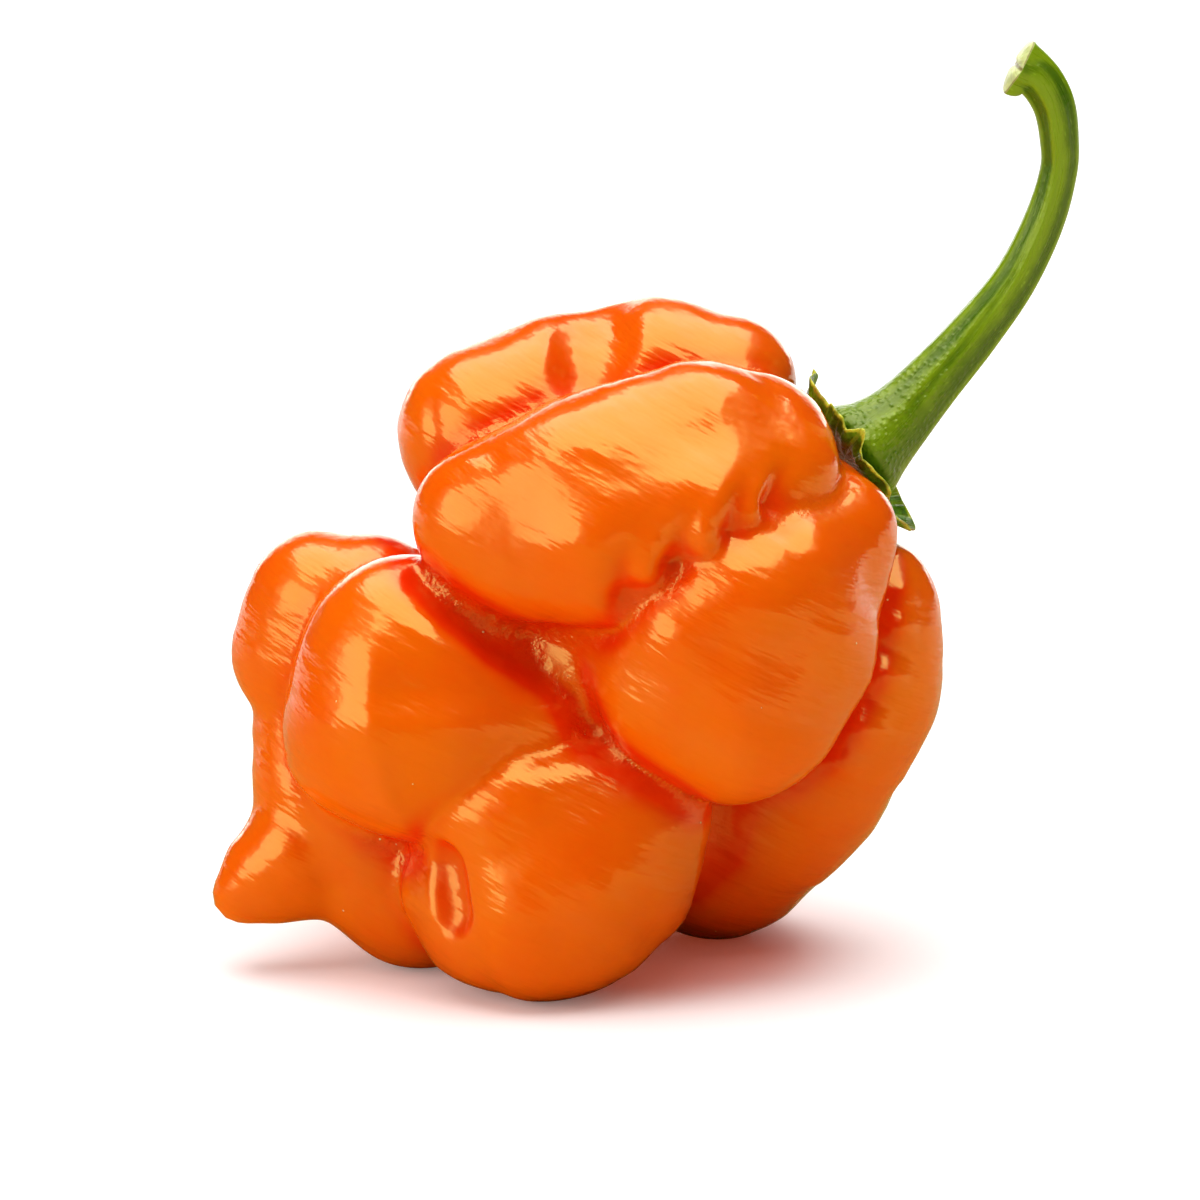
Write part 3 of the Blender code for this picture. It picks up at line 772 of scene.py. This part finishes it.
def skin_material(settings):
    """Glossy wax over thin orange flesh, faintly mottled, with tiny specks that crowd in the creases.
    Painted shade makes it darker and redder in the creases, folds and basins, and low down on the right.
    Seen edge-on the wax is smoother."""
    material, nodes, shader = new_material("pepper_skin_gloss")
    place = nodes.place()
    side = nodes.axes(place)
    # painted shade: darker and redder skin in the hollows, folds and basins
    deep = nodes.times(nodes.span(nodes.attribute("hollow"), 0.08, 0.80), 0.85)
    basin_shade = nodes.times(nodes.span(nodes.attribute("basin"), 0.20, 0.90), 0.40)
    # painted shade low down on the right, where the lower lobes sit in shadow near the floor
    foot = nodes.times(nodes.span(side["Z"], 0.001, 0.014, 0.6, 0.0), nodes.span(side["X"], -0.002, 0.004))
    deep = nodes.plus(deep, basin_shade, foot, clamp=True)
    patch, grain = nodes.mottle(place, 0.005, 0.0009)
    red, green, blue = settings.lit
    skin = nodes.mix(patch, settings.lit, (red, 1.22 * green, blue))
    skin = nodes.mix(deep, skin, settings.deep)

    cells = nodes.cells(place, 0.0012)
    rare = nodes.add("ShaderNodeSeparateColor", 0, {0: cells["Color"]})
    common = nodes.span(nodes.attribute("crease"), 0.25, 0.8, 0.93, 0.55)
    dot = nodes.span(cells["Distance"], 0.035, 0.075, 1.0, 0.0)
    speck = nodes.times(dot, nodes.math("GREATER_THAN", rare, common))
    nodes.put(shader["Base Color"], nodes.mix(nodes.times(speck, 0.8), skin, settings.speck))

    turned = nodes.add("ShaderNodeMapping", 0, {"Vector": place, "Rotation": (0.0, -0.468, 0.0)})
    streak = nodes.noise(nodes.stretched(turned, (0.2, 0.2, 1.0)), 0.00034, 2.0, 0.6)
    knots = nodes.times(nodes.attribute("seam"), nodes.noise(place, 0.0004, 3.0, 0.6))
    height = nodes.plus(streak, nodes.times(knots, 3.0), nodes.times(grain, 0.8), nodes.times(speck, 0.8))
    nodes.put(shader["Normal"], nodes.bump(height, 0.00008))
    facing = nodes.add("ShaderNodeLayerWeight", "Facing")
    rough = nodes.span(nodes.noise(place, 0.002, 3.0), 0.3, 0.75, 0.12, 0.22)
    nodes.put(shader["Roughness"], nodes.times(rough, nodes.span(facing, 0.55, 0.85, 1.0, 0.45)))
    shader["Specular Tint"].default_value = (1.0, 0.97, 0.25, 1.0)
    shader["IOR"].default_value = 1.8
    shine_through(shader, 0.30, (1.0, 0.2, 0.02), 0.0015)
    return material


def calyx_material(settings):
    """Leafy green with pale veins that run out to the rim, and a thin yellow edge with brown dry spots. The
    underside gets painted shade, olive brown, that turns to green near the rim."""
    material, nodes, shader = new_material("pepper_calyx_leaf")
    place = nodes.place()
    out = nodes.attribute("out")
    ray = nodes.attribute("ray", "Vector")
    patch, grain = nodes.mottle(place, 0.0009, 0.0003)
    vein = nodes.span(nodes.noise(nodes.stretched(ray, (1.0, 1.0, 0.25)), 0.22), 0.50, 0.66)
    green = nodes.mix(patch, *shades(settings.green, 0.40, 1.5))
    green = nodes.mix(nodes.times(vein, 0.22), green, settings.rim)
    # painted shade on the underside, olive brown, giving way to green near the rim
    shaded_underside = nodes.mix(patch, *shades(settings.brown, 1.0, 1.9))
    inner = nodes.span(nodes.plus(out, nodes.times(patch, 0.08)), 0.70, 0.84, 1.0, 0.0)
    sheet = nodes.mix(nodes.times(nodes.attribute("under"), inner), green, shaded_underside)
    edge = nodes.plus(out, nodes.times(nodes.math("SUBTRACT", patch, 0.5), 0.05))
    spots = nodes.span(nodes.noise(place, 0.0016), 0.48, 0.66)
    rim = nodes.mix(spots, settings.rim, (0.30, 0.13, 0.01))
    nodes.put(shader["Base Color"], nodes.mix(nodes.span(edge, 0.955, 0.995), sheet, rim))
    nodes.put(shader["Roughness"], nodes.span(grain, 0.4, 0.9, 0.18, 0.36))
    nodes.put(shader["Normal"], nodes.bump(nodes.plus(grain, nodes.times(vein, 0.8)), 0.00010))
    shader["Specular Tint"].default_value = (1.0, 1.0, 0.7, 1.0)
    shine_through(shader, 0.25, (0.5, 1.0, 0.05), 0.0007)
    return material


def stem_material(settings):
    """Smooth green skin with painted light that pales the ribs and painted shade that darkens the furrows,
    pebbles near the calyx and pale flecks along the fibres, and a pale moist cut face with a brown line round
    it and down its split."""
    material, nodes, shader = new_material("pepper_stem_rind")
    place = nodes.place()
    cut = nodes.attribute("cut")
    grain = nodes.attribute("grain", "Vector")
    fibre = nodes.noise(nodes.stretched(grain, (1.0, 1.0, 0.12)), 0.09, 3.0, 0.6)
    patch, fine = nodes.mottle(place, 0.0016, 0.00025)
    # painted light on the ribs and painted shade in the furrows, from the outline, mixed with fibres and
    # patches
    rib_light_and_fibre = nodes.plus(nodes.span(nodes.attribute("rib"), -0.07, 0.07), nodes.times(fibre, 0.5),
                       nodes.times(nodes.math("SUBTRACT", patch, 0.5), 0.25))
    rind = nodes.mix(nodes.span(rib_light_and_fibre, 0.25, 1.15), settings.furrow, settings.green)
    flecks = nodes.noise(nodes.stretched(grain, (1.0, 1.0, 0.5)), 0.05, 1.0)
    pale = tuple(1.7 * part + 0.03 for part in settings.green)
    rind = nodes.mix(nodes.times(nodes.span(flecks, 0.64, 0.78), 0.30), rind, pale)
    moist = nodes.span(nodes.noise(place, 0.0004, 3.0), 0.35, 0.65)
    pith = nodes.mix(moist, *shades(settings.cut, 1.0, 0.75))
    round_it = nodes.times(nodes.span(cut, 0.05, 0.30), nodes.span(cut, 0.40, 0.80, 1.0, 0.0))
    down_it = nodes.span(nodes.attribute("split"), 0.70, 0.98, 0.0, 0.8)
    line = nodes.plus(nodes.times(round_it, 0.8), down_it, clamp=True)
    face = nodes.mix(line, pith, (0.16, 0.09, 0.006))
    nodes.put(shader["Base Color"], nodes.mix(nodes.span(cut, 0.0, 0.25), rind, face))

    cells = nodes.cells(place, 0.00036, "SMOOTH_F1")
    near = nodes.span(nodes.attribute("along"), 0.10, 0.45, 1.0, 0.25)
    pebble = nodes.times(nodes.span(cells["Distance"], 0.0, 0.6, 1.0, 0.0), near)
    height = nodes.plus(nodes.times(fibre, 0.6), nodes.times(pebble, 0.55), nodes.times(fine, 0.25))
    nodes.put(shader["Normal"], nodes.bump(height, 0.00012))
    nodes.put(shader["Roughness"], nodes.span(fibre, 0.3, 0.7, 0.24, 0.38))
    shader["Specular Tint"].default_value = (1.0, 1.0, 0.45, 1.0)
    shader["IOR"].default_value = 1.55
    shine_through(shader, 0.12, (0.4, 1.0, 0.1), 0.0008)
    return material


def floor_material():
    """Matt white board with a painted glow that only the camera sees, red under the pepper like bounced light
    and pink round it, that lifts the shade. In the skin's gloss its colour is a painted reflection: white
    behind the pepper, and warm and dim in front, fading with distance so that its far edge draws no line."""
    material, nodes, shader = new_material("studio_floor_white")
    place = nodes.place()
    side = nodes.axes(place)
    away = nodes.add("ShaderNodeVectorMath", "Value", {0: place}, operation="LENGTH")
    # painted reflection: the floor's colour as the skin mirrors it, warm in front and brighter to the right
    front = nodes.mix(nodes.span(away, 0.03, 0.5), (0.30, 0.22, 0.03), (0.03, 0.02, 0.003))
    front = nodes.mix(nodes.span(side["X"], 0.01, 0.12), front, (0.60, 0.45, 0.25))
    painted_reflection = nodes.mix(nodes.span(side["Y"], 0.0, 0.3), front, (0.9, 0.9, 0.9))
    in_gloss = nodes.add("ShaderNodeLightPath", "Is Glossy Ray")
    nodes.put(shader["Base Color"], nodes.mix(in_gloss, (0.93, 0.93, 0.93), painted_reflection))
    # painted glow, seen only by the camera: red like bounced light under the pepper and pink round it
    painted_glow = nodes.mix(nodes.span(away, 0.007, 0.016), (0.18, 0.025, 0.010), (0.21, 0.165, 0.150))
    to_camera = nodes.add("ShaderNodeLightPath", "Is Camera Ray")
    nodes.put(shader["Emission Color"], nodes.mix(to_camera, (0.0, 0.0, 0.0), painted_glow))
    shader["Emission Strength"].default_value = 1.0
    shader["Roughness"].default_value = 0.7
    shader["Specular IOR Level"].default_value = 0.2
    return material


# ---- the stage ----
def direction(azimuth, elevation):
    """The way from the object to a light: azimuth 0 is the camera's side, and it grows to the right."""
    a, e = np.radians(azimuth), np.radians(elevation)
    return Vector((np.sin(a) * np.cos(e), -np.cos(a) * np.cos(e), np.sin(e)))


def softbox(name, way, half_angles, radiance, shape):
    """A far flat light that spans the given half angles as seen from the pod. Its power is its radiance
    times pi times its area, and an ellipse has pi / 4 of the area of the rectangle round it."""
    light = bpy.data.lights.new(name, "AREA")
    light.shape = shape
    light.size, light.size_y = 2 * LIGHT_DISTANCE * MM * np.tan(np.radians(half_angles))
    light.energy = radiance * np.pi * light.size * light.size_y * (np.pi / 4 if shape == "ELLIPSE" else 1.0)
    box = bpy.data.objects.new(name, light)
    bpy.context.scene.collection.objects.link(box)
    way = direction(*way)
    box.location = Vector(POD_CORE) * MM + way * LIGHT_DISTANCE * MM
    box.rotation_euler = way.to_track_quat("Z", "Y").to_euler()


def make_world(settings):
    """A white room: even on matt surfaces. For reflections it is pale low down behind, dim in front and
    above, and has a soft halo round each softbox."""
    world = bpy.data.worlds.new("studio_room")
    bpy.context.scene.world = world
    world.use_nodes = True
    nodes = Nodes(world.node_tree)
    way = nodes.add("ShaderNodeTexCoord", "Generated")
    side = nodes.axes(way)
    wall = nodes.times(nodes.span(side["Y"], 0.80, 0.92), nodes.span(side["Z"], 0.15, 0.75, 1.0, 0.0))
    toward = nodes.add("ShaderNodeVectorMath", "Value", {0: way, 1: direction(*SIDE_WAY)},
                       operation="DOT_PRODUCT")
    mirror = nodes.plus(nodes.times(wall, BACKDROP), DIM, nodes.span(toward, 0.80, 0.94, 0.0, HALO),
                        nodes.span(side["Z"], 0.66, 0.86, 0.0, HALO))
    in_gloss = nodes.add("ShaderNodeLightPath", "Is Glossy Ray")
    to_camera = nodes.add("ShaderNodeLightPath", "Is Camera Ray")
    unseen = nodes.add("ShaderNodeMix", 0, {0: in_gloss, 2: settings.fill, 3: mirror})
    background = nodes.tree.nodes["Background"].inputs
    background["Color"].default_value = (1.0, 1.0, 1.0, 1.0)
    nodes.put(background["Strength"], nodes.add("ShaderNodeMix", 0, {0: to_camera, 2: unseen, 3: 1.0}))


def make_camera():
    """A long lens in front of the pepper, aimed a little below its middle."""
    data = bpy.data.cameras.new("studio_camera")
    data.sensor_width = SENSOR
    data.lens = SENSOR * VIEW_DISTANCE / VIEW_WIDTH
    data.clip_start = 0.01
    data.clip_end = 50.0
    camera = bpy.data.objects.new("studio_camera", data)
    bpy.context.scene.collection.objects.link(camera)
    back = direction(0.0, VIEW_ELEVATION)
    camera.location = (Vector(VIEW_AIM) + back * VIEW_DISTANCE) * MM
    camera.rotation_euler = back.to_track_quat("Z", "Y").to_euler()
    bpy.context.scene.camera = camera


def make_stage(settings):
    """Floor, two softboxes, room and camera."""
    corners = FLOOR_WIDTH / 2 * np.array([(-1, -1, 0), (1, -1, 0), (1, 1, 0), (-1, 1, 0)])
    floor = new_piece("studio_floor", corners, [(0, 1, 2, 3)], floor_material())
    softbox("side_softbox", SIDE_WAY, SIDE_HALF, settings.side_light, "ELLIPSE")
    softbox("top_softbox", TOP_WAY, TOP_HALF, settings.top_light, "RECTANGLE")
    make_world(settings)
    make_camera()
    bpy.context.scene.view_settings.view_transform = "Standard"


# ---- add-on ----
def dress(piece, node):
    """Fastens a finished piece to the pepper's one body in place of its plain solid."""
    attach(piece, "root")
    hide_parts(node)


class PEPPER_OT_pod(bpy.types.Operator):
    """Make the folded, glossy skin"""
    bl_idname = "pepper.pod"
    bl_label = "Pod"

    def execute(self, context):
        dress(make_pod(context.scene.pepper_pod), "pod")
        return {"FINISHED"}


class PEPPER_OT_calyx(bpy.types.Operator):
    """Make the wavy calyx on the crown"""
    bl_idname = "pepper.calyx"
    bl_label = "Calyx"

    def execute(self, context):
        dress(make_calyx(context.scene.pepper_calyx), "calyx")
        return {"FINISHED"}


class PEPPER_OT_stem(bpy.types.Operator):
    """Make the ribbed stem and its cut end"""
    bl_idname = "pepper.stem"
    bl_label = "Stem"

    def execute(self, context):
        dress(make_stem(context.scene.pepper_stem), "stem")
        return {"FINISHED"}


class PEPPER_OT_stage(bpy.types.Operator):
    """Make the floor, the lights, the room and the camera"""
    bl_idname = "pepper.stage"
    bl_label = "Stage"

    def execute(self, context):
        make_stage(context.scene.pepper_stage)
        return {"FINISHED"}


class PEPPER_PT_panel(bpy.types.Panel):
    """Lists the steps and their settings"""
    bl_idname = "PEPPER_PT_panel"
    bl_label = "Scotch bonnet pepper"
    bl_space_type = "VIEW_3D"
    bl_region_type = "UI"
    bl_category = "Pepper"

    def draw(self, context):
        for name, (operator, _) in STEPS.items():
            settings = getattr(context.scene, name)
            box = self.layout.box()
            for setting in settings.__annotations__:
                box.prop(settings, setting)
            box.operator(operator.bl_idname)


STEPS = {
    "pepper_stage": (PEPPER_OT_stage, StageSettings),
    "pepper_pod": (PEPPER_OT_pod, PodSettings),
    "pepper_calyx": (PEPPER_OT_calyx, CalyxSettings),
    "pepper_stem": (PEPPER_OT_stem, StemSettings),
}
CLASSES = [*(cls for pair in STEPS.values() for cls in pair), PEPPER_PT_panel]


def register():
    for cls in CLASSES:
        bpy.utils.register_class(cls)
    for name, (_, group) in STEPS.items():
        setattr(bpy.types.Scene, name, PointerProperty(type=group))


def unregister():
    for name in STEPS:
        delattr(bpy.types.Scene, name)
    for cls in reversed(CLASSES):
        bpy.utils.unregister_class(cls)


def main():
    register()
    bpy.ops.pepper.stage()
    bpy.ops.pepper.pod()
    bpy.ops.pepper.calyx()
    bpy.ops.pepper.stem()


if __name__ == "__main__":
    main()
